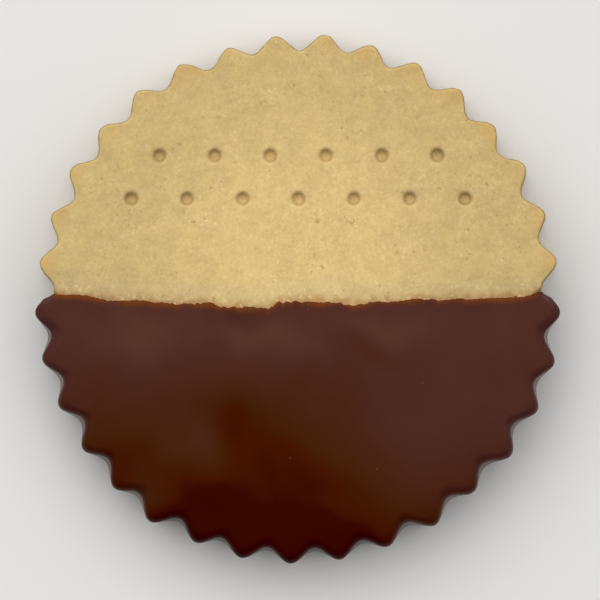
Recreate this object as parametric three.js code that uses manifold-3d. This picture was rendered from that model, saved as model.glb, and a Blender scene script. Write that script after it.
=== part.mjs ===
// A round fluted shortbread biscuit, one half of it dipped in chocolate, lying flat.
// Millimetres, +Z up. The origin is the middle of the biscuit on the surface that it lies on.
// +Y points to the bare half and -Y to the dipped half.

import * as THREE from "three";
import { mergeVertices } from "three/addons/utils/BufferGeometryUtils.js";
import Module from "manifold-3d";

const wasm = await Module();
wasm.setup();

// The biscuit
const TIP_DIAMETER = 76;
const THICKNESS = 9.5;
const FLUTES = 33;
const FLUTE_DEPTH = 2.1;
const WALL_DRAFT = 0.3; // the top of the wall stands this far inside its foot
const TOP_ROUNDING = 0.8;
const FOOT_ROUNDING = 0.5;
const CROWN = 0.2; // the middle rises this far above the rim
const TUCK = 0.45; // the dipped half is this much smaller, so the coat ends flush with the bare tips
const TUCK_FROM = 2.5; // the tuck sets in at this Y and is whole at Y = 0

// The rows of round holes that a docker pricks in the top
const PRICK_DIAMETER = 2.2;
const PRICK_FLOOR_DIAMETER = 1.3;
const PRICK_DEPTH = 1.3;
const PRICK_PITCH = 8;
const PRICK_ROWS = [
  { y: 20.5, count: 6 },
  { y: 14.3, count: 7 },
];

// The chocolate coat
const COAT_TIP_DIAMETER = 76.2;
const COAT_FLUTE_DEPTH = 1.5; // chocolate pools in the flutes, so they are shallower than the biscuit's
const COAT_FILM = 0.5; // thickness under the biscuit
const COAT_COVER = 0.8; // thickness on top of the biscuit
const COAT_TOP_ROUNDING = 1.8;
const COAT_FOOT_ROUNDING = 0.8;
const COAT_LIP = 0.5; // rounding of the coat's edge along the dip line
const CLEARANCE = 0.2; // between the biscuit and the coat

// Where the coat ends, from left to right, seen from above
const DIP_LINE = [
  [-44, 0.8],
  [-34, 0.7],
  [-28, -0.1],
  [-19, -0.7],
  [-5, -1.4],
  [-2.5, -0.5],
  [7, -0.8],
  [20, -0.1],
  [34, 0.4],
  [44, 1.2],
];
const DIP_STEPS = 3; // straight pieces for each point of the dip line

// Unevenness of a hand-cut rim: how many waves go round, their size, and the angle of a crest from +X
const RIM_WAVES = [
  { count: 2, size: 0.19, crest: 81 },
  { count: 4, size: 0.1, crest: -19 },
  { count: 7, size: 0.11, crest: -19 },
  { count: 10, size: 0.1, crest: -18 },
  { count: 16, size: 0.11, crest: -9 },
  { count: 21, size: 0.1, crest: -1 },
];
const FLUTE_START = -3.15; // degrees from +X to the first tip
const FLUTE_DRIFT = [
  { count: 1, size: 0.8, crest: 105 },
  { count: 2, size: 0.6, crest: 15 },
  { count: 3, size: 0.15, crest: 49 },
  { count: 4, size: 0.2, crest: -24 },
];

// How finely the round shapes are divided
const STEPS_PER_FLUTE = 8;
const PRICK_SIDES = 12;
const ROUNDING_STEPS = 2;
const FLUTES_WHOLE = 2.5; // the flutes run in from the rim unchanged for this far
const FLUTES_GONE = 6; // and have died out at this distance

// Heights that follow from these sizes
const BISCUIT_BASE = COAT_FILM + CLEARANCE;
const BISCUIT_TOP = BISCUIT_BASE + THICKNESS;
const COAT_INSIDE_TOP = BISCUIT_TOP + CLEARANCE;
const COAT_TOP = COAT_INSIDE_TOP + COAT_COVER;
const SPARE = 0.1; // how far a cutting shape runs past what it cuts

const SHORTBREAD = new THREE.MeshStandardMaterial({ color: 0xd6bb80, roughness: 0.85, metalness: 0 });
const CHOCOLATE = new THREE.MeshStandardMaterial({ color: 0x4a261b, roughness: 0.4, metalness: 0 });

function waveSum(waves, degrees) {
  const phase = ({ count, crest }) => THREE.MathUtils.degToRad(count * (degrees - crest));
  return waves.reduce((sum, wave) => sum + wave.size * Math.cos(phase(wave)), 0);
}

// Turns a closed geometry into a solid that can be joined and cut.
function solidFrom(geometry) {
  geometry.deleteAttribute("normal");
  geometry.deleteAttribute("uv");
  const merged = mergeVertices(geometry);
  return new wasm.Manifold(
    new wasm.Mesh({
      numProp: 3,
      vertProperties: merged.getAttribute("position").array,
      triVerts: new Uint32Array(merged.index.array),
    }),
  );
}

function meshFrom(name, solid, material) {
  const { vertProperties, triVerts } = solid.getMesh();
  const geometry = new THREE.BufferGeometry();
  geometry.setAttribute("position", new THREE.BufferAttribute(vertProperties, 3));
  geometry.setIndex(new THREE.BufferAttribute(triVerts, 1));
  geometry.computeVertexNormals();
  const mesh = new THREE.Mesh(geometry, material);
  mesh.name = name;
  return mesh;
}

// The side view of a disc from the middle of its base to the middle of its top,
// as distances in from the rim and heights.
function discProfile({ radius, base, top, footRounding, topRounding, draft }) {
  const profile = [
    { inset: radius, z: base },
    { inset: FLUTES_GONE, z: base },
    { inset: footRounding, z: base },
    { inset: 0, z: base + footRounding },
  ];
  for (let step = 0; step <= ROUNDING_STEPS; step += 1) {
    const turn = ((Math.PI / 2) * step) / ROUNDING_STEPS;
    profile.push({
      inset: draft + topRounding * (1 - Math.cos(turn)),
      z: top - topRounding * (1 - Math.sin(turn)),
    });
  }
  profile.push({ inset: FLUTES_GONE, z: top });
  profile.push({ inset: radius, z: top + CROWN });
  return profile;
}

// A disc with flutes round its rim. They fade out towards the middle, and tuck draws in the -Y half.
function flutedDisc({ tipRadius, fluteDepth, tuck, ...side }) {
  const radius = tipRadius - fluteDepth / 2;
  const points = discProfile({ radius, ...side }).map(({ inset, z }) => new THREE.Vector2(radius - inset, z));
  const disc = new THREE.LatheGeometry(points, FLUTES * STEPS_PER_FLUTE);
  disc.rotateX(Math.PI / 2);
  const place = disc.getAttribute("position");
  for (let i = 0; i < place.count; i += 1) {
    const even = Math.atan2(place.getY(i), place.getX(i));
    const evenDegrees = THREE.MathUtils.radToDeg(even);
    const from = Math.hypot(place.getX(i), place.getY(i));
    const share = 1 - THREE.MathUtils.smoothstep(radius - from, FLUTES_WHOLE, FLUTES_GONE);
    const flute = (fluteDepth / 2) * Math.cos(FLUTES * even) + waveSum(RIM_WAVES, evenDegrees);
    const drawnIn = tuck * (1 - THREE.MathUtils.smoothstep(place.getY(i), 0, TUCK_FROM));
    const turned = THREE.MathUtils.degToRad(evenDegrees + FLUTE_START + waveSum(FLUTE_DRIFT, evenDegrees));
    const out = from + share * (flute - drawnIn);
    place.setXY(i, out * Math.cos(turned), out * Math.sin(turned));
  }
  return solidFrom(disc);
}

// The biscuit's own form, grown on every side by an allowance.
function biscuitForm(grow) {
  return flutedDisc({
    tipRadius: TIP_DIAMETER / 2 + grow,
    fluteDepth: FLUTE_DEPTH,
    tuck: TUCK,
    base: BISCUIT_BASE - grow,
    top: BISCUIT_TOP + grow,
    footRounding: FOOT_ROUNDING,
    topRounding: TOP_ROUNDING,
    draft: WALL_DRAFT,
  });
}

// A tapered round hole in the top, as the peg that makes it.
function prick(x, y) {
  const mouth = BISCUIT_TOP + CROWN + SPARE;
  const peg = new THREE.LatheGeometry(
    [
      new THREE.Vector2(0, BISCUIT_TOP - PRICK_DEPTH),
      new THREE.Vector2(PRICK_FLOOR_DIAMETER / 2, BISCUIT_TOP - PRICK_DEPTH),
      new THREE.Vector2(PRICK_DIAMETER / 2, mouth),
      new THREE.Vector2(0, mouth),
    ],
    PRICK_SIDES,
  );
  peg.rotateX(Math.PI / 2);
  peg.translate(x, y, 0);
  return solidFrom(peg);
}

function shortbread() {
  let biscuit = biscuitForm(0);
  for (const { y, count } of PRICK_ROWS) {
    for (let i = 0; i < count; i += 1) {
      biscuit = biscuit.subtract(prick((i - (count - 1) / 2) * PRICK_PITCH, y));
    }
  }
  return biscuit;
}

// Everything on the dipped side of the dip line, with a rounded edge above and below.
function dippedSide() {
  const [start, ...rest] = DIP_LINE.map(([x, y]) => new THREE.Vector2(x, y));
  const end = rest.at(-1);
  const outline = new THREE.Shape();
  outline.moveTo(start.x, start.y);
  outline.splineThru(rest);
  outline.lineTo(end.x, -COAT_TIP_DIAMETER);
  outline.lineTo(start.x, -COAT_TIP_DIAMETER);
  const height = COAT_TOP + CROWN + 2 * SPARE;
  const block = new THREE.ExtrudeGeometry(outline, {
    depth: height - 2 * COAT_LIP,
    curveSegments: DIP_STEPS,
    bevelThickness: COAT_LIP,
    bevelSize: COAT_LIP,
    bevelOffset: -COAT_LIP,
    bevelSegments: ROUNDING_STEPS,
  });
  block.translate(0, 0, COAT_LIP - SPARE);
  return solidFrom(block);
}

function chocolateCoat() {
  const outside = flutedDisc({
    tipRadius: COAT_TIP_DIAMETER / 2,
    fluteDepth: COAT_FLUTE_DEPTH,
    tuck: 0,
    base: 0,
    top: COAT_TOP,
    footRounding: COAT_FOOT_ROUNDING,
    topRounding: COAT_TOP_ROUNDING,
    draft: 0,
  });
  return outside.intersect(dippedSide()).subtract(biscuitForm(CLEARANCE));
}

const biscuit = new THREE.Group();
biscuit.add(meshFrom("shortbread", shortbread(), SHORTBREAD));
biscuit.add(meshFrom("chocolate_coat", chocolateCoat(), CHOCOLATE));

export default biscuit;
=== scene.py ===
"""A round fluted shortbread biscuit, one half of it dipped in chocolate, dressed around its solids.

Shapes are worked out in millimetres, in the frame of the solids, and turn into metres as each piece is
made. +Y points to the bare half and -Y to the dipped half.
"""

import bmesh
import bpy
import numpy as np
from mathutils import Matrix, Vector, noise


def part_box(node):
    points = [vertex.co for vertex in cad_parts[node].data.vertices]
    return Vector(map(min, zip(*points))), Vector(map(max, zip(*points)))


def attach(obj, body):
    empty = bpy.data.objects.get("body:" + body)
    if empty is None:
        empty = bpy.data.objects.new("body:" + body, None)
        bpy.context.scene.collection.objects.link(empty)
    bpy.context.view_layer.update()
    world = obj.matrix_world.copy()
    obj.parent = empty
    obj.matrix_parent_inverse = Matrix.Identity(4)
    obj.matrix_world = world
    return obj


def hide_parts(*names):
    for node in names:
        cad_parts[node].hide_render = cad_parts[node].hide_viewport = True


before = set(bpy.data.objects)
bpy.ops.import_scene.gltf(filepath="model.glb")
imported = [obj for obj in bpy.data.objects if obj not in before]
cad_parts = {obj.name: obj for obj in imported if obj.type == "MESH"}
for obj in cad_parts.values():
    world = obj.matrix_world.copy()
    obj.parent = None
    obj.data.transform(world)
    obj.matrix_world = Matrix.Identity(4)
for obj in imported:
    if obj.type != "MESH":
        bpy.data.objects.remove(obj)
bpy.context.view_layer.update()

MM = 0.001

# The biscuit. Each rounding is its width across and its height.
TIP_RADIUS = 38.0
FLUTES = 33
FLUTE_DEPTH = 2.1
WALL_DRAFT = 0.3
TOP_ROUNDING = (0.5, 0.7)
COVERED_ROUNDING = (1.5, 1.6)
FOOT_ROUNDING = (0.5, 0.5)
CROWN = 0.2
# The flutes run in from the rim unchanged as far as the first distance and have died out at the second
FLUTES_WHOLE = 2.5
FLUTES_GONE = 6.0
# The dipped half is smaller by the tuck, which dies out between these distances from the dip line
TUCK = 0.6
TUCK_WHOLE = -0.6
TUCK_GONE = 0.5
# Under the coat the biscuit's surface sinks, more and more between these distances from the dip line
COVERED_SINK = 0.2
SINK_REACH = (0.3, 1.2)

# Waves round the rim: how many, their size in millimetres and the angle of a crest
RIM_WAVES = ((2, 0.19, 81), (4, 0.1, -19), (7, 0.11, -19), (10, 0.1, -18), (16, 0.11, -9), (21, 0.1, -1))
# Drift of the flutes round the rim: how many waves, their size in degrees and the angle of a crest
FLUTE_DRIFT = ((1, 0.8, 105), (2, 0.6, 15), (3, 0.15, 49), (4, 0.2, -24))
# Degrees from +X to the first tip
FLUTE_START = -3.15

# Docker holes in the top. Each row is its Y and how many holes it has.
PRICK_RADIUS = 1.25
PRICK_FLOOR_RADIUS = 0.35
PRICK_DEPTH = 1.0
PRICK_PITCH = 8.0
PRICK_ROWS = ((20.5, 6), (14.3, 7))

# Relief of the biscuit, in layers of lumps: their height, their width and where their noise starts
ROLLED_LUMPS = ((0.09, 9.0, 0.0),)
GRAIN_LUMPS = ((0.04, 1.7, 7.1), (0.045, 0.75, 3.3))
# How much rougher the side is and how much smoother the underside, which sets in between these slopes
SIDE_ROUGHER = 0.8
UNDER_SMOOTHER = 0.8
UNDER_SLOPES = (0.5, 0.9)

# Where the biscuit is browned, in from its tips
BROWNED_REACH = (4.5, 0.5)
BROWNED_MEAN = 0.7
BROWNED_LUMPS = ((1.0, 5.0, 9.2),)
# How steep it is where it is baked darker, partly real baking and partly painted shade against the light
# its rounded edge catches, and how much it is baked below
BAKED_SHADE_SLOPES = (0.1, 0.6)
BAKED_UNDER = 0.6
# Where it is pale, out from a place on the Y axis
PALE_Y = 6
PALE_REACH = (4, 32)
# Where it is sandy, and where a darker brown band runs, away from the dip line
SANDY_REACH = (0.5, 5.0)
LINE_BAND_REACH = 0.9
LINE_BAND_LUMPS = ((0.9, 0.9, 2.9),)

# The chocolate coat
COAT_TIP_RADIUS = 38.1
COAT_FLUTE_DEPTH_TOP = 2.1
COAT_FLUTE_DEPTH_FOOT = 1.45
NOTCH_FILL_HEIGHT = 3.0
COAT_TOP_ROUNDING = (1.8, 1.8)
COAT_FOOT_ROUNDING = (0.8, 0.8)
# How far the coat's inner face lies inside the biscuit's skin
COAT_SUNK = 0.12
# How far the coat's top droops towards its rim, and how much more in a band along its edge
COAT_DROOP = 0.25
EDGE_DROOP = 0.45
EDGE_WIDTH = 9.0
# Shares of the full thickness: at the lip, and the least inside the coat's edge
LIP_SHARE = 0.45
LEAST_SHARE = 0.02
LIP_ROUNDING = 0.35
LIP_SOFTNESS = 11.0
# How far from its lip the coat takes to reach its full thickness: on the rim, and from left to right on top
RIM_RISE = 0.8
LIP_RISE = ((-38, 16.0), (-20, 15.0), (-4, 9.0), (6, 11.0), (16, 15.0), (38, 17.0))
# Where the coat ends, from left to right
DIP_LINE = (
    (-44, 0.9),
    (-35.5, 0.72),
    (-34, 0.55),
    (-31, 0.5),
    (-27, -0.35),
    (-23, -0.35),
    (-19, -0.7),
    (-13, -0.65),
    (-10.5, -1.2),
    (-6.2, -1.45),
    (-3.6, -1.35),
    (-3.4, -0.8),
    (-2.6, -0.45),
    (1.5, -0.35),
    (7, -0.7),
    (15, -0.45),
    (20, -0.1),
    (24, -0.2),
    (30, 0.2),
    (33, 0.3),
    (34.2, 0.55),
    (35.5, 1.15),
    (44, 1.4),
)
DIP_SOFTNESS = 0.15
# Even angles round the rim, on the left and on the right, between which the dip line meets it
END_ANGLES = ((170, 190), (350, 375))
# How the coat's edge strays from the dip line, in lumps: their size, their width, where their noise starts
# and between which distances to the left and right they die out
STRAYS = ((0.35, 2.2, 1.7, 18, 31), (0.28, 0.7, 4.9, 18, 31), (0.18, 0.37, 2.3, 32, 35))
STRAYS_REACH = 1.2
# Low swells in the top of the coat: their place, widths and height
SWELLS = (
    (-25, -10, 8.0, 4.0, 0.26),
    (-6, -11.5, 6.0, 4.0, 0.28),
    (11, -4.5, 5.0, 2.2, 0.12),
    (-13, -24, 5.0, 3.5, 0.2),
    (4, -24, 9.0, 4.0, 0.2),
)
# Swells and lumps grow from nothing between these heights
SWELL_HEIGHTS = (1.5, 4.0)
COAT_LUMPS = ((0.12, 6.0, 8.4),)
# Where the coat is thin enough to look reddish, away from its edge
THIN_REACH = (0.1, 1.3)
THIN_MEAN = 0.75
THIN_LUMPS = ((0.9, 3.5, 5.1),)

# Painted sheen: how pale the coat's colour grows towards the dip line, between these places along Y
SHEEN_MOST = 0.8
SHEEN_REACH = (-37, -2)
SHEEN_LUMPS = ((5, 13.0, 6.6),)
# Those places lie lower by the lean on the right, which sets in between these places along X
SHEEN_LEAN = 12
LEAN_REACH = (2, 22)
MOTTLE_LUMPS = ((0.05, 5.0, 2.2), (0.03, 2.4, 9.4))
# Paler and darker patches of the coat, painted reflection and painted shade: their place, widths, turn in
# degrees and strength
PATCHES = (
    (-24, -6, 6.0, 4.0, 0, 0.22),
    (-3, -6, 7.0, 2.2, -10, 0.22),
    (-8, -2.6, 5.0, 1.3, 0, -0.2),
    (9.5, -7.2, 5.5, 1.8, -25, -0.22),
    (12, -4.5, 6.0, 1.8, 0, 0.1),
    (-9.2, -16.5, 5.5, 4.0, 0, -0.27),
    (-3.5, -21.5, 7.0, 3.5, -40, -0.15),
    (3, -26.5, 8.0, 3.0, 0, -0.06),
    (-15, -21, 3.5, 3.0, 0, 0.2),
    (-24, -20, 5.0, 4.0, 0, -0.1),
    (-22, -29, 3.0, 3.0, 0, 0.15),
    (5, -3.5, 30.0, 4.0, 0, 0.08),
)
# The upper edge of the darkest part of the coat, painted shade at the front, from left to right
DARK_EDGE = (
    (-22, -33),
    (-19.2, -30.4),
    (-16, -26.6),
    (-14, -25.4),
    (-9.8, -27.2),
    (-4, -30),
    (4.5, -30.4),
    (8, -33),
    (14, -37),
)
DARK_SOFTNESS = 2.0
DARK_REACH = (-2.2, 2.6)
DARK_DEPTH = 0.25
# How patches and the dark edge stray along X and Y
PATCH_LUMPS_X = ((2.5, 6.0, 3.7), (0.8, 2.5, 7.3))
PATCH_LUMPS_Y = ((1.8, 5.0, 1.9), (0.6, 2.2, 5.7))
# How pale the wall of the coat is, one even tone in place of the painted sheen and shade on top, and how
# far below the top it starts and is whole
WALL_TONE = 0.33
WALL_STARTS = 0.8
WALL_WHOLE = 5.5

# Coated crumbs that stick out of the coat: their place and size
CRUMBS = (
    (17.8, -12.2, 0.5),
    (11.3, -24.5, 0.42),
    (1.4, -1.7, 0.5),
    (-23.6, -6.1, 0.36),
    (-1.2, -22.9, 0.32),
)
# Half widths and half height of a crumb of size 1, how far it sinks in, and its dents
CRUMB_FORM = (0.5, 0.5, 0.33)
CRUMB_SUNK = 0.13
CRUMB_DENT = 0.06
CRUMB_DENT_WIDTH = 0.3
CRUMB_DENT_STARTS = (1.1, 4.3, 7.7)
# How pale the crumbs lie on the painted sheen-and-shade scale, a painted sheen, and how thin their
# chocolate looks
CRUMB_SHEEN = 0.8
CRUMB_THIN = 0.6

# Heights, from the solids
BISCUIT_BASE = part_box("shortbread")[0].z / MM
BISCUIT_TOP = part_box("shortbread")[1].z / MM - CROWN
COAT_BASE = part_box("chocolate_coat")[0].z / MM
COAT_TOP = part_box("chocolate_coat")[1].z / MM - CROWN

# How finely the pieces are divided. A pull draws points together towards both ends of a row.
TOP_COLUMNS = 250
BARE_ROWS = 160
# Below this share of its radius the biscuit's top is hidden by the coat and needs fewer rows
HIDDEN_FROM = -0.08
HIDDEN_ROWS = 30
ROUND_STEPS = 7
WALL_STEPS = 24
BASE_INSETS = (1.5, 4.0, 9.0, 16.0, 24.0, 31.0)
COAT_COLUMNS = 460
COAT_COLUMN_PULL = 0.65
COAT_TOP_ROWS = 48
COAT_TOP_PULL = 0.9
COAT_BASE_ROWS = 18
COAT_BASE_PULL = 0.8
# The coat's columns fan out from behind the dip line, by this share of the radius, and leave it at a slant
FAN_BEHIND = 0.3
COLUMN_SLANT = 0.1
END_STEPS = 400
SOFT_STEPS = 7
CRUMB_DIVISIONS = 3
CRUMB_NEIGHBOURS = 8

# Roughness and gloss of the plain surfaces
SHORTBREAD_ROUGHNESS = 0.9
SHORTBREAD_GLOSS = 0.2
CHOCOLATE_ROUGHNESS = 0.24
CHOCOLATE_GLOSS = 0.09
FLOOR_ROUGHNESS = 0.8
# Bumps: their strength and their depth
GRAIN_BUMP = (0.4, 0.15)
RIPPLE_BUMP = (0.1, 0.1)

# Noise in the materials: its width, detail, roughness and where it starts
GRAIN_NOISE = (0.5, 2.0, 0.6, 0.0)
CLUSTER_NOISE = (4.0, 3.0, 0.55, 1.0)
CREVICE_NOISE = (0.6, 2.0, 0.6, 2.0)
SPECK_NOISE = (0.5, 1.0, 0.5, 3.0)
MOTTLE_NOISE = (2.4, 3.0, 0.55, 0.0)
FINE_NOISE = (0.4, 3.0, 0.6, 0.0)
RIPPLE_NOISE = (2.5, 2.0, 0.5, 0.0)

# Ranges of a value in the materials and what they turn into: from low, from high, to low, to high
CLUSTER_RANGE = (0.4, 0.65, 0.1, 1.0)
CREVICE_RANGE = (0.41, 0.27, 0.0, 0.8)
SPECK_RANGE = (0.58, 0.74, 0.0, 0.6)
PALE_TONES = (0.0, 1.0, 0.96, 1.14)
MOTTLE_TONES = (0.33, 0.67, 0.945, 1.055)
BAKED_SHADE_RANGE = (0.0, 1.0, 0.0, 0.7)
EDGE_RANGE = (0.0, 1.0, 0.0, 0.95)
SHEEN_SHADE_GLOSS = (0.0, 0.4, 0.04, CHOCOLATE_GLOSS)
LIP_GLOSS = (0.0, 1.0, 1.0, 0.5)
LIP_ROUGHNESS = (0.0, 1.0, CHOCOLATE_ROUGHNESS, 0.7)
WALL_RANGE = (0.0, 0.35, 0.0, 1.0)
WALL_GLOSS = (0.0, 1.0, 1.0, 3.0)

# Colours of the crumb along its grain, and of what lies over it
GRAIN_COLOURS = (
    (0.27, (0.57, 0.405, 0.16)),
    (0.4, (0.625, 0.45, 0.184)),
    (0.58, (0.65, 0.475, 0.202)),
    (0.7, (0.7, 0.53, 0.25)),
)
CREVICE_COLOUR = (0.36, 0.25, 0.085)
SPECK_COLOUR = (0.77, 0.61, 0.35)
# Colour of the steep side and underside: baked, and dark enough to be painted shade on the lit rounded edge
BAKED_SHADE_COLOUR = (0.31, 0.215, 0.088)
# Tints that follow a share kept for each vertex: its name, the most of the tint and the colour
CRUMB_TINTS = (
    ("browned", 0.8, (0.64, 0.415, 0.145)),
    ("sandy", 0.35, (0.52, 0.42, 0.22)),
    ("line_band", 0.85, (0.4, 0.22, 0.085)),
    # The prick holes are painted darker, as painted shade in the holes
    ("sunk", 0.3, (0.5, 0.34, 0.12)),
)
# Colours of the chocolate from dark to pale, from painted shade to painted sheen, and of its thin edge
CHOCOLATE_COLOURS = (
    (0.0, (0.037, 0.0006, 0.0001)),
    (0.13, (0.053, 0.0038, 0.0)),
    (0.31, (0.0515, 0.0086, 0.002)),
    (0.53, (0.061, 0.0118, 0.007)),
    (0.8, (0.0675, 0.019, 0.0172)),
    (1.0, (0.087, 0.0285, 0.023)),
)
EDGE_COLOUR = (0.155, 0.043, 0.009)
TOP_GLOSS_TINT = (1, 0.7, 0.1)
WALL_GLOSS_TINT = (1, 0.75, 0.65)
FLOOR_COLOUR = (0.8, 0.79, 0.77)

# The sockets of a mix node that take the share and the two colours, and the one that gives the result
MIX_SOCKETS = (0, 6, 7)
MIX_RESULT = 2

# The studio: a sky that brightens with height and fades at the front, less at the sides, and a broad key
FLOOR_REACH = 3000.0
SKY_STRENGTH = (0.1, 0.75, 0.46, 1.33)
FRONT_FADE = (-0.5, 0.0)
SIDE_FILL = 0.4
KEY_PLACE = (-330, 660, 690)
KEY_SIZE = 900
KEY_WATTS = 2.5

# The camera, straight above. The middle of the biscuit lies at this pixel of an image this wide.
IMAGE_PIXELS = 600
MIDDLE_PIXEL = (298.4, 298.4)
PIXELS_PER_MM = 6.955
CAMERA_HEIGHT = 500.0
SENSOR_MM = 36.0


def smoothstep(x, low, high):
    t = np.clip((x - low) / (high - low), 0, 1)
    return t * t * (3 - 2 * t)


def eased(count, pull):
    """Numbers from 0 to 1, closer together towards both ends the more pull nears 1."""
    t = np.linspace(0, 1, count)
    return t - pull * np.sin(2 * np.pi * t) / (2 * np.pi)


def wave_sum(waves, degrees):
    return sum(size * np.cos(np.radians(count * (degrees - crest))) for count, size, crest in waves)


def lumps(points, grain, shift):
    """Smooth noise of about -1 to 1 at each point, with lumps about as wide as grain."""
    return np.array([noise.noise(p) for p in (points / grain + shift).tolist()])


def lump_sum(points, layers):
    return sum(height * lumps(points, grain, shift) for height, grain, shift in layers)


def soft_line(knots, x, softness):
    """Y at each X of a line through knots, with its corners softened."""
    knots_x, knots_y = np.array(knots, float).T
    shifts = softness * np.linspace(-1, 1, SOFT_STEPS)
    return np.mean([np.interp(x + shift, knots_x, knots_y) for shift in shifts], axis=0)


def dip_line(x, softness=DIP_SOFTNESS):
    return soft_line(DIP_LINE, x, softness)


def turned(even):
    """Where even angles in degrees come to lie round the rim, in radians."""
    return np.radians(even + FLUTE_START + wave_sum(FLUTE_DRIFT, even))


def bare_share(from_middle, even):
    """1 on the bare half of the rim and 0 on the dipped half, with a short change over the dip line."""
    x, y = from_middle * np.cos(turned(even)), from_middle * np.sin(turned(even))
    return smoothstep(y - dip_line(x), TUCK_WHOLE, TUCK_GONE)


def fluted(even, inset, tip_radius, flute_depth, tuck):
    """X and Y on a fluted disc, at even angles in degrees and at distances in from its mean rim."""
    mean_radius = tip_radius - flute_depth / 2
    from_middle = mean_radius - inset
    share = 1 - smoothstep(inset, FLUTES_WHOLE, FLUTES_GONE)
    flute = flute_depth / 2 * np.cos(np.radians(FLUTES * even)) + wave_sum(RIM_WAVES, even)
    drawn_in = tuck * (1 - bare_share(from_middle, even))
    radius = from_middle + share * (flute - drawn_in)
    return radius * np.cos(turned(even)), radius * np.sin(turned(even))


def rim_profile(base, top, foot_rounding, top_rounding, draft):
    """Side view of a rim from the edge of its top to the edge of its base: insets and heights.

    Each rounding is a quarter of an ellipse.
    """
    turn = np.linspace(0, np.pi / 2, ROUND_STEPS + 1)
    down = np.linspace(0, 1, WALL_STEPS + 1)[1:-1]
    shoulder = (draft + top_rounding[0] * (1 - np.sin(turn)), top - top_rounding[1] * (1 - np.cos(turn)))
    wall_top, wall_foot = top - top_rounding[1], base + foot_rounding[1]
    wall = (draft * (1 - down), wall_top + (wall_foot - wall_top) * down)
    foot = (foot_rounding[0] * (1 - np.cos(turn)), base + foot_rounding[1] * (1 - np.sin(turn)))
    return np.array([np.concatenate(parts) for parts in zip(shoulder, wall, foot)])


def quads(index):
    """Quads over a table of vertex numbers."""
    corners = (index[:-1, :-1], index[1:, :-1], index[1:, 1:], index[:-1, 1:])
    return np.stack(corners, axis=-1).reshape(-1, 4).tolist()


def make_piece(name, points, faces, material):
    mesh = bpy.data.meshes.new(name)
    mesh.from_pydata((points * MM).tolist(), [], faces)
    mesh.validate()
    mesh.shade_smooth()
    mesh.materials.append(material)
    piece = bpy.data.objects.new(name, mesh)
    bpy.context.scene.collection.objects.link(piece)
    return piece


def points_of(piece):
    flat = np.empty(len(piece.data.vertices) * 3, np.float32)
    piece.data.vertices.foreach_get("co", flat)
    return flat.reshape(-1, 3).astype(float) / MM


def normals_of(piece):
    flat = np.empty(len(piece.data.vertices) * 3, np.float32)
    piece.data.vertex_normals.foreach_get("vector", flat)
    return flat.reshape(-1, 3).astype(float)


def move_points(piece, points):
    piece.data.vertices.foreach_set("co", (points * MM).astype(np.float32).ravel())
    piece.data.update()


def set_share(piece, name, values):
    """Keeps a number from 0 to 1 for each vertex that the piece's material reads."""
    shares = piece.data.attributes.new(name, "FLOAT", "POINT")
    shares.data.foreach_set("value", np.clip(values, 0, 1).astype(np.float32))


def prick_depths(x, y):
    depth = np.zeros_like(x)
    for row_y, count in PRICK_ROWS:
        for i in range(count):
            away = np.hypot(x - (i - (count - 1) / 2) * PRICK_PITCH, y - row_y)
            depth += PRICK_DEPTH * (1 - smoothstep(away, PRICK_FLOOR_RADIUS, PRICK_RADIUS))
    return depth


def biscuit_top(bare, covered):
    """A grid over the biscuit's top: even angles, bare shares and points."""
    mean_radius = TIP_RADIUS - FLUTE_DEPTH / 2
    across = np.linspace(-1, 1, TOP_COLUMNS)
    hidden = np.linspace(-1, HIDDEN_FROM, HIDDEN_ROWS, endpoint=False)
    along = np.concatenate((hidden, np.linspace(HIDDEN_FROM, 1, BARE_ROWS)))
    a, b = np.meshgrid(across, along)
    p, q = a * np.sqrt(1 - b * b / 2), b * np.sqrt(1 - a * a / 2)
    even = np.degrees(np.arctan2(q, p))
    out = np.minimum(np.hypot(p, q), 1)
    share = bare_share(mean_radius, even)
    edge_inset = covered[0, 0] + share * (bare[0, 0] - covered[0, 0])
    inset = mean_radius - out * (mean_radius - edge_inset)
    x, y = fluted(even, inset, TIP_RADIUS, FLUTE_DEPTH, TUCK)
    z = BISCUIT_TOP + CROWN * (1 - out**2) - prick_depths(x, y)
    return even, share, np.stack((x, y, z), axis=-1)


def biscuit_rings(bare, covered, even, share):
    """Rings of points down the biscuit's rim and in under it, at these even angles and bare shares."""
    under = np.array((BASE_INSETS, [BISCUIT_BASE] * len(BASE_INSETS)))
    bare = np.concatenate((bare[:, 1:], under), axis=1)
    covered = np.concatenate((covered[:, 1:], under), axis=1)
    rings = []
    for low, high in zip(covered.T, bare.T):
        inset, height = low[:, None] + (high - low)[:, None] * share
        x, y = fluted(even, inset, TIP_RADIUS, FLUTE_DEPTH, TUCK)
        rings.append(np.stack((x, y, height), axis=-1))
    return np.array(rings)


def biscuit_form():
    """Points and faces of the smooth biscuit: a grid over its top, then rings down its rim and under it."""
    bare = rim_profile(BISCUIT_BASE, BISCUIT_TOP, FOOT_ROUNDING, TOP_ROUNDING, WALL_DRAFT)
    covered = rim_profile(BISCUIT_BASE, BISCUIT_TOP, FOOT_ROUNDING, COVERED_ROUNDING, WALL_DRAFT)
    even, share, top = biscuit_top(bare, covered)
    index = np.arange(even.size).reshape(even.shape)
    edge = np.concatenate((index[0, :-1], index[:-1, -1], index[-1, :0:-1], index[:0:-1, 0]))
    rings = biscuit_rings(bare, covered, even.ravel()[edge], share.ravel()[edge])
    below = np.arange(rings.size // 3).reshape(len(rings), -1) + even.size
    middle = even.size + below.size
    table = np.concatenate((edge[None], below))
    table = np.concatenate((table, table[:, :1]), axis=1)
    points = np.concatenate((top.reshape(-1, 3), rings.reshape(-1, 3), [[0, 0, BISCUIT_BASE]]))
    fan = [(int(i), middle, int(j)) for i, j in zip(table[-1, :-1], table[-1, 1:])]
    return points, quads(index.T) + quads(table) + fan


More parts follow.
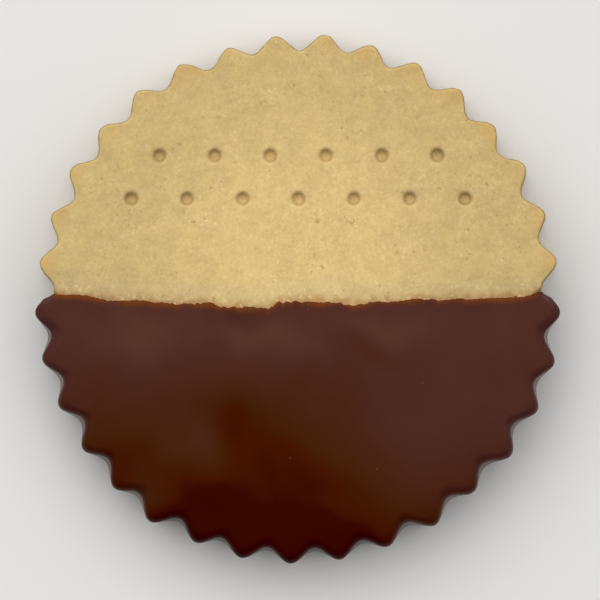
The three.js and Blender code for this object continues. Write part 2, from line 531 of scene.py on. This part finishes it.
def biscuit_relief(points, side, under, over_line):
    """How far the crumb stands out: rougher on the side, smoother below and sunk under the coat."""
    rough = (1 + SIDE_ROUGHER * side) * (1 - UNDER_SMOOTHER * under)
    rolled = lump_sum(points, ROLLED_LUMPS) * (1 - under)
    sunk = COVERED_SINK * smoothstep(-over_line, *SINK_REACH)
    return rolled + rough * lump_sum(points, GRAIN_LUMPS) - sunk


def make_biscuit(material):
    points, faces = biscuit_form()
    piece = make_piece("biscuit", points, faces, material)
    normals = normals_of(piece)
    x, y = points[:, 0], points[:, 1]
    over_line = y - dip_line(x)
    side = 1 - np.abs(normals[:, 2])
    under = smoothstep(-normals[:, 2], *UNDER_SLOPES)
    move_points(piece, points + normals * biscuit_relief(points, side, under, over_line)[:, None])

    tips = smoothstep(TIP_RADIUS - np.hypot(x, y), *BROWNED_REACH)
    set_share(piece, "browned", tips * (BROWNED_MEAN + lump_sum(points, BROWNED_LUMPS)))
    # Steep faces are darker: partly baking, partly painted shade against the light the rounded edge catches
    set_share(piece, "baked_shade", np.maximum(smoothstep(side, *BAKED_SHADE_SLOPES), BAKED_UNDER * under))
    set_share(piece, "pale", 1 - smoothstep(np.hypot(x, y - PALE_Y), *PALE_REACH))
    # Painted shade: the prick holes are darker the deeper they are
    set_share(piece, "sunk", prick_depths(x, y) / PRICK_DEPTH * (normals[:, 2] > 0))
    set_share(piece, "sandy", 1 - smoothstep(over_line, *SANDY_REACH))
    # A darker brown band that fades away from the dip line
    near_line = np.exp(-np.maximum(over_line, 0) / LINE_BAND_REACH)
    set_share(piece, "line_band", near_line * (1 + lump_sum(points, LINE_BAND_LUMPS)))
    return piece


def ragged(x):
    """How far the coat's edge strays from the dip line."""
    places = np.stack((x, np.zeros_like(x), np.zeros_like(x)), axis=-1).reshape(-1, 3)
    strays = np.zeros_like(x)
    for size, grain, shift, whole, gone in STRAYS:
        fade = 1 - smoothstep(np.abs(x), whole, gone)
        strays += size * fade * lumps(places, grain, shift).reshape(np.shape(x))
    return strays


def coat_share(x, y, z):
    """The share of the coat's full thickness at a place: a thin ragged lip, then a rise, slow on top."""
    away = np.maximum(dip_line(x, LIP_SOFTNESS) - y, 0)
    on_top = smoothstep(COAT_TOP - z, COAT_TOP_ROUNDING[1] + EDGE_DROOP, EDGE_DROOP)
    rise = RIM_RISE + on_top * (np.interp(x, *np.array(LIP_RISE).T) - RIM_RISE)
    from_lip = np.maximum(dip_line(x) + ragged(x) - y, 0)
    lip = np.sqrt(1 - (1 - np.clip(from_lip / LIP_ROUNDING, 0, 1)) ** 2)
    return lip * (LIP_SHARE + (1 - LIP_SHARE) * smoothstep(away / rise, 0, 1))


def dip_ends():
    """The even angles, on the left and on the right, where the dip line meets the biscuit's rim."""
    ends = []
    for low, high in END_ANGLES:
        even = np.linspace(low, high, END_STEPS)
        x, y = fluted(even, 0.0, TIP_RADIUS, FLUTE_DEPTH, TUCK)
        over = y - dip_line(x) - ragged(x)
        order = np.argsort(over)
        ends.append(np.interp(0, over[order], even[order]))
    return ends


def domed(x, y, crown, droop, radius):
    """How much higher a top stands here than at its rim: a low dome that droops towards the edge."""
    from_middle = np.hypot(x, y)
    near_edge = np.maximum(1 - (radius - from_middle) / EDGE_WIDTH, 0)
    return crown * (1 - (from_middle / radius) ** 2) - droop * near_edge**2


def fan_share(even):
    """Where columns that fan out to these rim angles cross the dip line, as shares of its length."""
    angle = np.radians(even)
    x = np.cos(angle) / (FAN_BEHIND - np.sin(angle))
    return (x - x[0]) / (x[-1] - x[0])


def coat_columns(line_x, rim_x, rim_y, share):
    """X and Y at shares of the way from the ragged dip line, which columns leave steeply, to the rim."""
    line_y = dip_line(line_x)
    x = line_x + (rim_x - line_x) * (COLUMN_SLANT * share + (1 - COLUMN_SLANT) * share**3)
    y = line_y + (rim_y - line_y) * share
    return x, y + ragged(line_x) * (1 - smoothstep(line_y - y, 0, STRAYS_REACH))


def coat_sheet(even, tip_radius, depths, tuck, profile, crown, droop):
    """A sheet from the dip line over the top, down the rim and back under the base to the dip line."""
    insets, heights = profile
    top, base = heights[0], heights[-1]
    rim_x, rim_y = fluted(even[None], insets[:, None], tip_radius, depths[:, None], tuck)
    above = (heights - base) / (top - base)
    rim_z = heights[:, None] + above[:, None] * domed(rim_x, rim_y, crown, droop, tip_radius)
    line_x = rim_x[0, 0] + (rim_x[0, -1] - rim_x[0, 0]) * fan_share(even)
    over = eased(COAT_TOP_ROWS + 1, COAT_TOP_PULL)[:-1, None]
    under = eased(COAT_BASE_ROWS + 1, COAT_BASE_PULL)[-2::-1, None]
    top_x, top_y = coat_columns(line_x, rim_x[0], rim_y[0], over)
    base_x, base_y = coat_columns(line_x, rim_x[-1], rim_y[-1], under)
    top_z = top + domed(top_x, top_y, crown, droop, tip_radius)
    x = np.concatenate((top_x, rim_x, base_x))
    y = np.concatenate((top_y, rim_y, base_y))
    z = np.concatenate((top_z, rim_z, np.full_like(base_x, base)))
    return np.stack((x, y, z), axis=-1)


def skin_sheet(even):
    """The sheet just inside the biscuit's skin that the coat lies on."""
    base, top = BISCUIT_BASE + COAT_SUNK, BISCUIT_TOP - COAT_SUNK
    profile = rim_profile(base, top, FOOT_ROUNDING, COVERED_ROUNDING, WALL_DRAFT)
    depths = np.full_like(profile[0], FLUTE_DEPTH)
    return coat_sheet(even, TIP_RADIUS - COAT_SUNK, depths, TUCK, profile, CROWN, 0.0)


def form_sheet(even):
    """The coat's own form at its full thickness, with notches that fill up towards the foot."""
    top = COAT_TOP - COAT_DROOP
    profile = rim_profile(COAT_BASE, top, COAT_FOOT_ROUNDING, COAT_TOP_ROUNDING, 0.0)
    filled = smoothstep(top - COAT_TOP_ROUNDING[1] - profile[1], 0, NOTCH_FILL_HEIGHT)
    depths = COAT_FLUTE_DEPTH_TOP + (COAT_FLUTE_DEPTH_FOOT - COAT_FLUTE_DEPTH_TOP) * filled
    return coat_sheet(even, COAT_TIP_RADIUS, depths, 0.0, profile, CROWN + COAT_DROOP, EDGE_DROOP)


def swells(x, y):
    height = np.zeros_like(x)
    for middle_x, middle_y, width_x, width_y, swell in SWELLS:
        height += swell * np.exp(-(((x - middle_x) / width_x) ** 2) - ((y - middle_y) / width_y) ** 2)
    return height


def patches(x, y):
    strength = np.zeros_like(x)
    for middle_x, middle_y, width_x, width_y, turn, most in PATCHES:
        cos, sin = np.cos(np.radians(turn)), np.sin(np.radians(turn))
        along = ((x - middle_x) * cos + (y - middle_y) * sin) / width_x
        across = ((y - middle_y) * cos - (x - middle_x) * sin) / width_y
        strength += most * np.exp(-(along**2) - across**2)
    return strength


def wall_share(points):
    """0 on top of the coat and 1 on its wall and underneath."""
    return smoothstep(COAT_TOP - points[:, 2], WALL_STARTS, WALL_WHOLE)


def sheen_shade_share(points):
    """Painted sheen and shade in the coat's colour: paler towards the dip line and the right, patches of
    painted reflection and shade, darkest painted shade at the front, one even tone on the wall.
    """
    lean = SHEEN_LEAN * smoothstep(points[:, 0], *LEAN_REACH)
    along = points[:, 1] + lean + lump_sum(points, SHEEN_LUMPS)
    x = points[:, 0] + lump_sum(points, PATCH_LUMPS_X)
    y = points[:, 1] + lump_sum(points, PATCH_LUMPS_Y)
    # Painted shade: the darkest part of the coat, at the front
    dark = DARK_DEPTH * smoothstep(soft_line(DARK_EDGE, x, DARK_SOFTNESS) - y, *DARK_REACH)
    mottle = lump_sum(points, MOTTLE_LUMPS)
    top = SHEEN_MOST * smoothstep(along, *SHEEN_REACH) + patches(x, y) + mottle - dark
    return top + wall_share(points) * (WALL_TONE - top)


def coat_shell(outside, skin):
    """Points and faces of a shell between two sheets that meet along their edge."""
    rows, columns = outside.shape[:2]
    index = np.arange(rows * columns).reshape(rows, columns)
    inner = index.copy()
    inner[1:-1, 1:-1] = rows * columns + np.arange((rows - 2) * (columns - 2)).reshape(rows - 2, -1)
    points = np.concatenate((outside.reshape(-1, 3), skin[1:-1, 1:-1].reshape(-1, 3)))
    return points, quads(index) + quads(inner[:, ::-1])


def make_coat(material):
    """A shell between the biscuit's skin and the coat's own form, pinched together along its edge."""
    left, right = dip_ends()
    even = left + (right - left) * eased(COAT_COLUMNS, COAT_COLUMN_PULL)
    skin, form = skin_sheet(even), form_sheet(even)
    x, y, z = np.moveaxis(form, -1, 0)
    full = np.maximum(coat_share(x, y, z), LEAST_SHARE)
    full[[0, -1], :] = 0
    full[:, [0, -1]] = 0
    points, faces = coat_shell(skin + full[..., None] * (form - skin), skin)
    piece = make_piece("coat", points, faces, material)

    free, thin = np.zeros(len(points)), np.zeros(len(points))
    free[: full.size] = full.ravel()
    free *= smoothstep(points[:, 2], *SWELL_HEIGHTS)
    waves = swells(points[:, 0], points[:, 1]) + lump_sum(points, COAT_LUMPS)
    move_points(piece, points + normals_of(piece) * (free * waves)[:, None])
    thin[: full.size] = 1 - smoothstep((dip_line(x) + ragged(x) - y).ravel(), *THIN_REACH)
    set_share(piece, "lip", thin)
    set_share(piece, "thin", thin * (THIN_MEAN + lump_sum(points, THIN_LUMPS)))
    # Painted sheen and shade that the coat's colour follows
    set_share(piece, "sheen_shade", sheen_shade_share(points))
    set_share(piece, "wall", wall_share(points))
    return piece


def ball_form():
    """Points and faces of a ball of radius 1."""
    ball = bmesh.new()
    bmesh.ops.create_icosphere(ball, subdivisions=CRUMB_DIVISIONS, radius=1.0)
    ball.verts.index_update()
    points = np.array([vertex.co for vertex in ball.verts])
    faces = np.array([[vertex.index for vertex in face.verts] for face in ball.faces])
    ball.free()
    return points, faces


def make_crumbs(coat, material):
    """Little crumbs that the chocolate has run over, each half sunk in the coat's own surface."""
    ball, ball_faces = ball_form()
    skin = points_of(coat)
    points, faces = [], []
    for x, y, size in CRUMBS:
        nearest = np.argsort(np.hypot(skin[:, 0] - x, skin[:, 1] - y))[:CRUMB_NEIGHBOURS]
        middle = np.array((x, y, skin[nearest, 2].max() - CRUMB_SUNK * size))
        faces += (ball_faces + len(points) * len(ball)).tolist()
        points.append(middle + ball * size * CRUMB_FORM)
    points = np.concatenate(points)
    dents = [lumps(points, CRUMB_DENT_WIDTH, start) for start in CRUMB_DENT_STARTS]
    piece = make_piece("crumbs", points + CRUMB_DENT * np.stack(dents, axis=-1), faces, material)
    # The crumbs take a pale painted sheen
    set_share(piece, "sheen_shade", np.full(len(points), CRUMB_SHEEN))
    set_share(piece, "thin", np.full(len(points), CRUMB_THIN))
    return piece


def new_material(name, roughness):
    material = bpy.data.materials.new(name)
    material.use_nodes = True
    shader = material.node_tree.nodes["Principled BSDF"]
    shader.inputs["Roughness"].default_value = roughness
    return material, shader


def link(material, output, socket):
    material.node_tree.links.new(output, socket)


def add_node(material, kind, sockets=None, **settings):
    """A new node with its settings, and its sockets set to values or joined to other nodes' outputs."""
    made = material.node_tree.nodes.new(kind)
    for key, value in settings.items():
        setattr(made, key, value)
    for key, value in (sockets or {}).items():
        if isinstance(value, bpy.types.NodeSocket):
            link(material, value, made.inputs[key])
        else:
            made.inputs[key].default_value = value
    return made


def object_place(material):
    return add_node(material, "ShaderNodeTexCoord").outputs["Object"]


def noise_node(material, place, grain, detail, rough, start):
    sockets = {"Vector": place, "W": start, "Scale": 1 / (grain * MM), "Detail": detail, "Roughness": rough}
    return add_node(material, "ShaderNodeTexNoise", sockets, noise_dimensions="4D").outputs["Fac"]


def ramp(material, value, stops):
    """Colours laid along a value: each stop is a place and an RGB colour."""
    made = add_node(material, "ShaderNodeValToRGB", {"Fac": value})
    elements = made.color_ramp.elements
    while len(elements) < len(stops):
        elements.new(1.0)
    for element, (place, colour) in zip(elements, stops):
        element.position = place
        element.color = (*colour, 1)
    return made.outputs["Color"]


def range_of(material, value, low, high, to_low=0.0, to_high=1.0):
    sockets = {"Value": value, "From Min": low, "From Max": high, "To Min": to_low, "To Max": to_high}
    made = add_node(material, "ShaderNodeMapRange", sockets, interpolation_type="SMOOTHSTEP")
    return made.outputs["Result"]


def mixed(material, share, first, second):
    """One colour laid over another by a share. Each is an RGB colour or another node's output."""
    colours = [(*colour, 1) if isinstance(colour, tuple) else colour for colour in (first, second)]
    sockets = dict(zip(MIX_SOCKETS, (share, *colours)))
    return add_node(material, "ShaderNodeMix", sockets, data_type="RGBA").outputs[MIX_RESULT]


def calculated(material, operation, *values):
    made = add_node(material, "ShaderNodeMath", dict(enumerate(values)), operation=operation)
    return made.outputs["Value"]


def multiplied(material, first, second):
    return calculated(material, "MULTIPLY", first, second)


def attribute(material, name):
    return add_node(material, "ShaderNodeAttribute", attribute_name=name).outputs["Fac"]


def toned(material, colour, tone):
    """A colour made lighter or darker by a tone around 1."""
    return add_node(material, "ShaderNodeHueSaturation", {"Color": colour, "Value": tone}).outputs["Color"]


def add_bump(material, shader, height, strength, depth):
    sockets = {"Height": height, "Strength": strength, "Distance": depth * MM}
    link(material, add_node(material, "ShaderNodeBump", sockets).outputs["Normal"], shader.inputs["Normal"])


def shortbread_material():
    material, shader = new_material("shortbread", SHORTBREAD_ROUGHNESS)
    shader.inputs["Specular IOR Level"].default_value = SHORTBREAD_GLOSS
    place = object_place(material)
    colour = ramp(material, noise_node(material, place, *GRAIN_NOISE), GRAIN_COLOURS)
    for name, most, tint in CRUMB_TINTS:
        share = range_of(material, attribute(material, name), 0.0, 1.0, 0.0, most)
        colour = mixed(material, share, colour, tint)
    cluster = range_of(material, noise_node(material, place, *CLUSTER_NOISE), *CLUSTER_RANGE)
    cluster = calculated(material, "MAXIMUM", cluster, attribute(material, "sandy"))
    crevices = range_of(material, noise_node(material, place, *CREVICE_NOISE), *CREVICE_RANGE)
    colour = mixed(material, multiplied(material, crevices, cluster), colour, CREVICE_COLOUR)
    specks = range_of(material, noise_node(material, place, *SPECK_NOISE), *SPECK_RANGE)
    colour = mixed(material, multiplied(material, specks, cluster), colour, SPECK_COLOUR)
    baked_shade = range_of(material, attribute(material, "baked_shade"), *BAKED_SHADE_RANGE)
    colour = mixed(material, baked_shade, colour, BAKED_SHADE_COLOUR)
    pale = range_of(material, attribute(material, "pale"), *PALE_TONES)
    mottle = range_of(material, noise_node(material, place, *MOTTLE_NOISE), *MOTTLE_TONES)
    colour = toned(material, colour, multiplied(material, pale, mottle))
    link(material, colour, shader.inputs["Base Color"])
    add_bump(material, shader, noise_node(material, place, *FINE_NOISE), *GRAIN_BUMP)
    return material


def chocolate_material():
    material, shader = new_material("chocolate", CHOCOLATE_ROUGHNESS)
    shader.inputs["Specular IOR Level"].default_value = CHOCOLATE_GLOSS
    shader.inputs["Specular Tint"].default_value = (*TOP_GLOSS_TINT, 1)
    sheen_shade, lip = attribute(material, "sheen_shade"), attribute(material, "lip")
    wall = range_of(material, attribute(material, "wall"), *WALL_RANGE)
    # The coat's colour follows its painted sheen and shade
    colour = ramp(material, sheen_shade, CHOCOLATE_COLOURS)
    edge = range_of(material, attribute(material, "thin"), *EDGE_RANGE)
    link(material, mixed(material, edge, colour, EDGE_COLOUR), shader.inputs["Base Color"])
    gloss = range_of(material, sheen_shade, *SHEEN_SHADE_GLOSS)
    gloss = multiplied(material, gloss, range_of(material, lip, *LIP_GLOSS))
    gloss = multiplied(material, gloss, range_of(material, wall, *WALL_GLOSS))
    link(material, gloss, shader.inputs["Specular IOR Level"])
    tint = mixed(material, wall, TOP_GLOSS_TINT, WALL_GLOSS_TINT)
    link(material, tint, shader.inputs["Specular Tint"])
    link(material, range_of(material, lip, *LIP_ROUGHNESS), shader.inputs["Roughness"])
    add_bump(material, shader, noise_node(material, object_place(material), *RIPPLE_NOISE), *RIPPLE_BUMP)
    return material


def floor_material():
    material, shader = new_material("floor", FLOOR_ROUGHNESS)
    shader.inputs["Base Color"].default_value = (*FLOOR_COLOUR, 1)
    return material


def make_floor():
    corners = FLOOR_REACH * np.array([(-1, -1, 0), (1, -1, 0), (1, 1, 0), (-1, 1, 0)])
    floor = make_piece("floor", corners, [(0, 1, 2, 3)], floor_material())


def add_key():
    """A broad lamp that faces the biscuit."""
    light = bpy.data.lights.new("key", "AREA")
    light.size = KEY_SIZE * MM
    light.energy = KEY_WATTS
    lamp = bpy.data.objects.new("key", light)
    lamp.location = Vector(KEY_PLACE) * MM
    lamp.rotation_euler = (-Vector(KEY_PLACE)).to_track_quat("-Z", "Y").to_euler()
    bpy.context.scene.collection.objects.link(lamp)


def light_studio():
    """Soft light from above, less of it from low down and from the front, and a broad key from behind."""
    world = bpy.data.worlds.new("studio")
    world.use_nodes = True
    bpy.context.scene.world = world
    outward = add_node(world, "ShaderNodeTexCoord").outputs["Generated"]
    across, back, up = add_node(world, "ShaderNodeSeparateXYZ", {"Vector": outward}).outputs
    aside = multiplied(world, across, across)
    behind = calculated(world, "MULTIPLY_ADD", aside, SIDE_FILL, back)
    front = range_of(world, behind, *FRONT_FADE)
    height = range_of(world, up, *SKY_STRENGTH)
    sky = world.node_tree.nodes["Background"]
    sky.inputs["Color"].default_value = (1, 1, 1, 1)
    link(world, multiplied(world, front, height), sky.inputs["Strength"])
    add_key()
    bpy.context.scene.view_settings.view_transform = "Standard"


def place_camera():
    half_view = IMAGE_PIXELS / 2 / PIXELS_PER_MM
    camera = bpy.data.cameras.new("camera")
    camera.sensor_width = SENSOR_MM
    camera.lens = SENSOR_MM / 2 / half_view * (CAMERA_HEIGHT - BISCUIT_TOP)
    eye = bpy.data.objects.new("camera", camera)
    right = (IMAGE_PIXELS / 2 - MIDDLE_PIXEL[0]) / PIXELS_PER_MM
    up = (MIDDLE_PIXEL[1] - IMAGE_PIXELS / 2) / PIXELS_PER_MM
    eye.location = Vector((right, up, CAMERA_HEIGHT)) * MM
    bpy.context.scene.collection.objects.link(eye)
    bpy.context.scene.camera = eye


def dress(piece, node):
    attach(piece, "root")
    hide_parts(node)


place_camera()
light_studio()
make_floor()
dress(make_biscuit(shortbread_material()), "shortbread")
chocolate = chocolate_material()
coat = make_coat(chocolate)
dress(coat, "chocolate_coat")
crumbs = make_crumbs(coat, chocolate)
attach(crumbs, "root")
